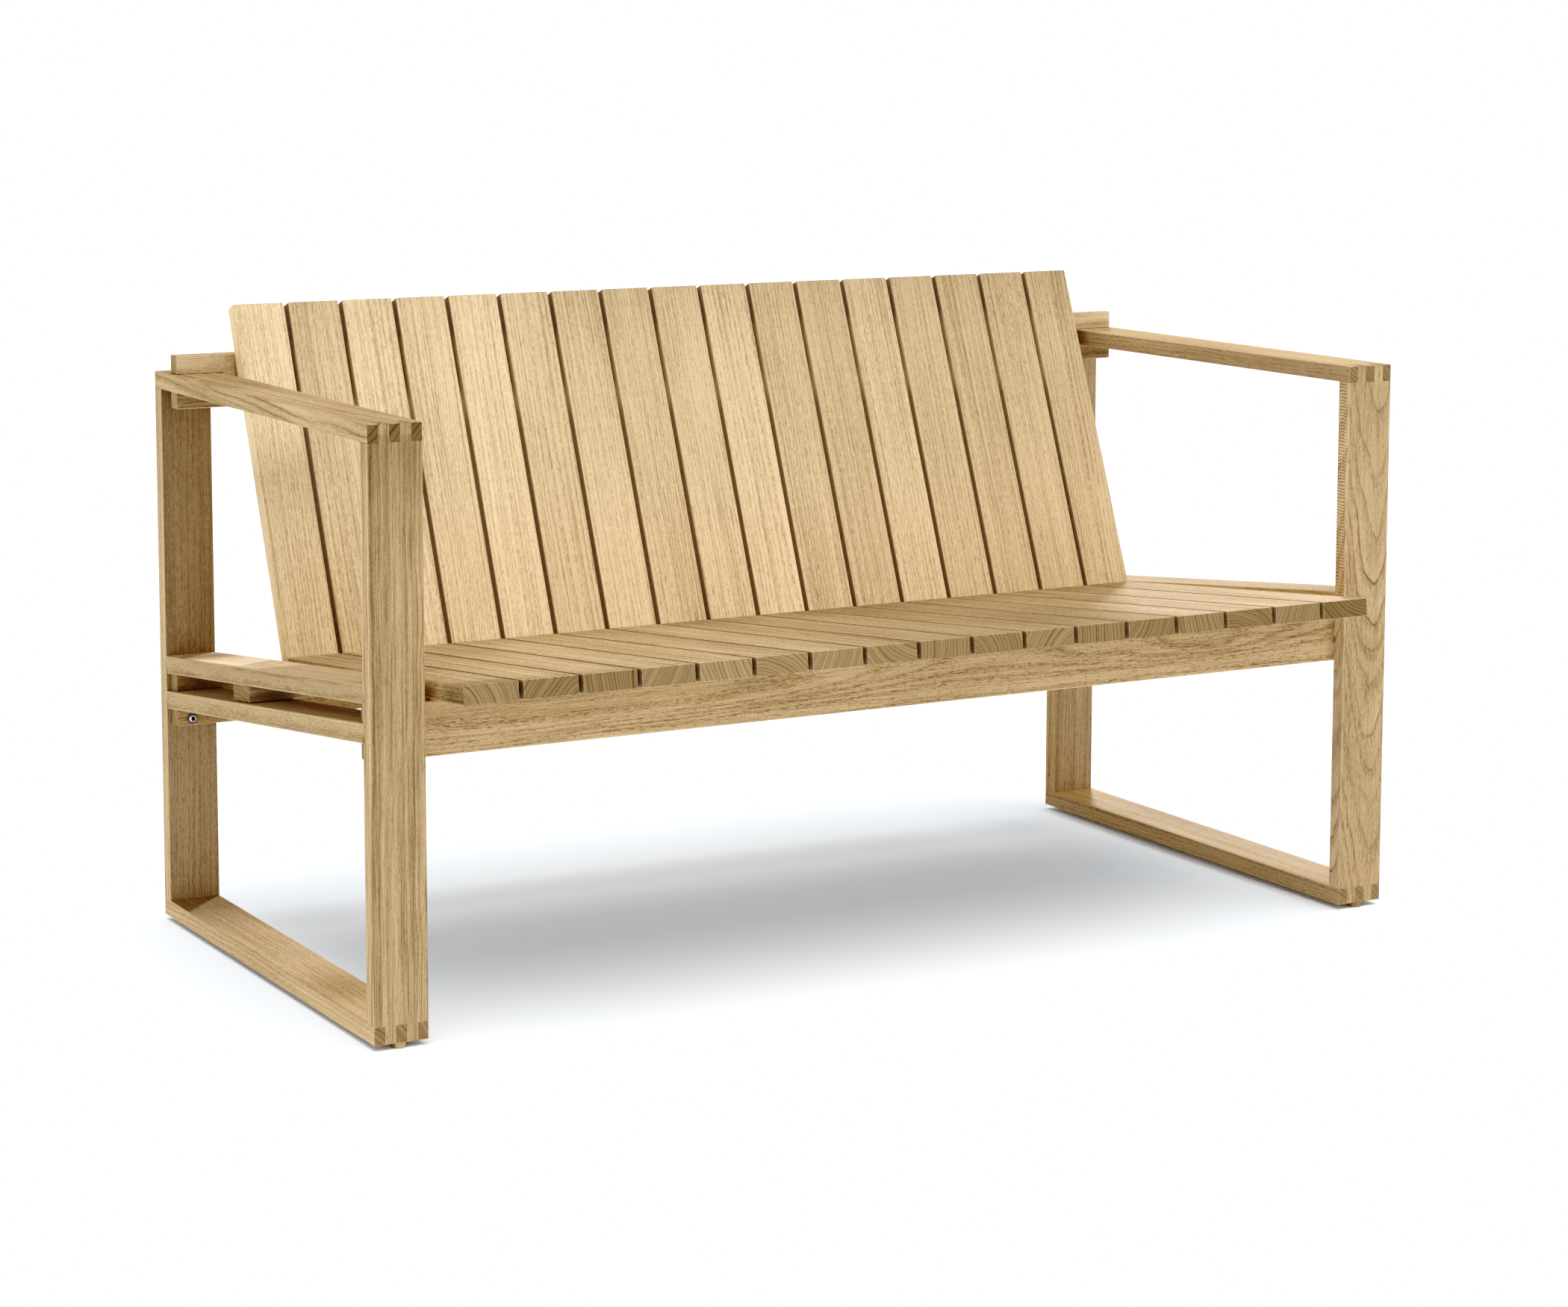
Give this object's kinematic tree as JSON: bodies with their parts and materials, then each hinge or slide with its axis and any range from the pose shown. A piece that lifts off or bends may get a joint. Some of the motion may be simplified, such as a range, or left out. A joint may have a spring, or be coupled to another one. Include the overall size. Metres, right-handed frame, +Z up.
{
  "type": "garden bench",
  "caption": "Two-seat slatted wooden garden bench with flat side frames as arms and legs, a gently sloped slatted seat and a leaning slatted back.",
  "frame": {"origin": "on the floor under the middle of the bench, at the bottom centre of its bounding box", "axes": "+X along the seat, +Y towards the back, so that a person sits facing -Y, +Z up"},
  "size_m": [1.4, 0.7396, 0.7814],
  "materials": {
    "side_frames": "planed bare light teak, satin, with fine dark pores",
    "seat_boards": "planed bare light teak, satin, straight grain with some flame figure",
    "back_boards": "planed bare light teak, satin, the palest boards",
    "rails": "planed bare teak, satin",
    "fixings": "plain stainless, lightly brushed"
  },
  "bodies": {
    "root": {"left_arm": "side_frames", "left_front_post": "side_frames", "left_rear_post": "side_frames", "left_runner": "side_frames", "left_upper_side_board": "side_frames", "left_lower_side_board": "side_frames", "right_arm": "side_frames", "right_front_post": "side_frames", "right_rear_post": "side_frames", "right_runner": "side_frames", "right_upper_side_board": "side_frames", "right_lower_side_board": "side_frames", "front_rail": "rails", "rear_rail": "rails", "seat_bearer": "rails", "upper_back_rail": "rails", "back_wedge_batten": "rails", "seat_slat_01": "seat_boards", "seat_slat_02": "seat_boards", "seat_slat_03": "seat_boards", "seat_slat_04": "seat_boards", "seat_slat_05": "seat_boards", "seat_slat_06": "seat_boards", "seat_slat_07": "seat_boards", "seat_slat_08": "seat_boards", "seat_slat_09": "seat_boards", "seat_slat_10": "seat_boards", "seat_slat_11": "seat_boards", "seat_slat_12": "seat_boards", "seat_slat_13": "seat_boards", "seat_slat_14": "seat_boards", "seat_slat_15": "seat_boards", "seat_slat_16": "seat_boards", "seat_slat_17": "seat_boards", "back_slat_01": "back_boards", "back_slat_02": "back_boards", "back_slat_03": "back_boards", "back_slat_04": "back_boards", "back_slat_05": "back_boards", "back_slat_06": "back_boards", "back_slat_07": "back_boards", "back_slat_08": "back_boards", "back_slat_09": "back_boards", "back_slat_10": "back_boards", "back_slat_11": "back_boards", "back_slat_12": "back_boards", "back_slat_13": "back_boards", "back_slat_14": "back_boards", "back_slat_15": "back_boards", "back_slat_16": "back_boards", "back_slat_17": "back_boards", "feet": "rails", "rail_bolts": "fixings", "bolt_washers": "fixings"}
  },
  "joints": []
}
